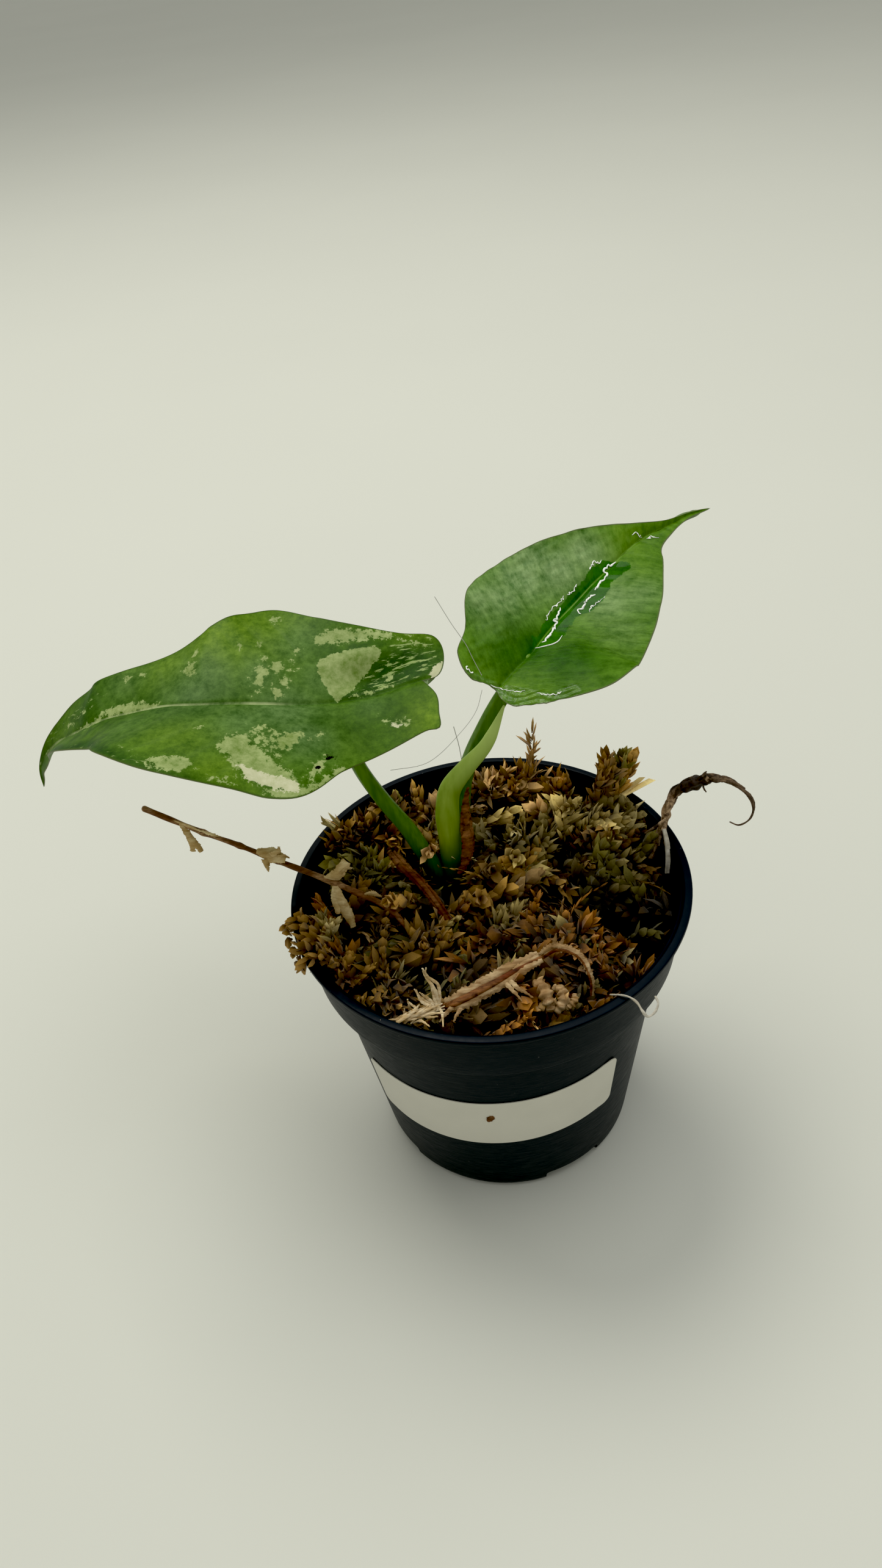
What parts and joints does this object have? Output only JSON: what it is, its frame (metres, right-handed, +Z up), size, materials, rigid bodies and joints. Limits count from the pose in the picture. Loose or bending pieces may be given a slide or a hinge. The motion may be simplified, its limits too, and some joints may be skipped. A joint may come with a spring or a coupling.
{
  "type": "potted variegated alocasia",
  "caption": "Young potted aroid with mottled shield-shaped leaves, a furled new leaf and a bare label, planted in dried sphagnum moss.",
  "frame": {"origin": "middle of the pot's flat foot", "axes": "+Z up along the pot's axis, -Y towards the plain label, +X towards the smaller, mostly green leaf, and the object's longest extent runs along X"},
  "size_m": [0.1979, 0.1242, 0.1593],
  "materials": {
    "pot_plastic": "satin",
    "label_paper": "matte",
    "dried_moss": "matte",
    "corm": "matte",
    "stalk_green": "satin",
    "left_leaf": "satin",
    "right_leaf": "gloss",
    "young_leaf": "satin",
    "dry_twig": "matte",
    "dry_root": "matte",
    "pale_strand": "matte",
    "pale_stalk": "matte"
  },
  "bodies": {
    "root": {"pot": "pot_plastic", "label": "label_paper", "sphagnum_moss": "dried_moss", "corm_with_roots": "corm", "left_stalk": "stalk_green", "left_blade": "left_leaf", "right_stalk": "stalk_green", "right_blade": "right_leaf", "new_leaf": "young_leaf", "dry_twig": "dry_twig", "curled_root": "dry_root", "white_strand": "pale_strand", "crown_stalk": "dry_twig", "front_stalk": "pale_stalk"}
  },
  "joints": []
}
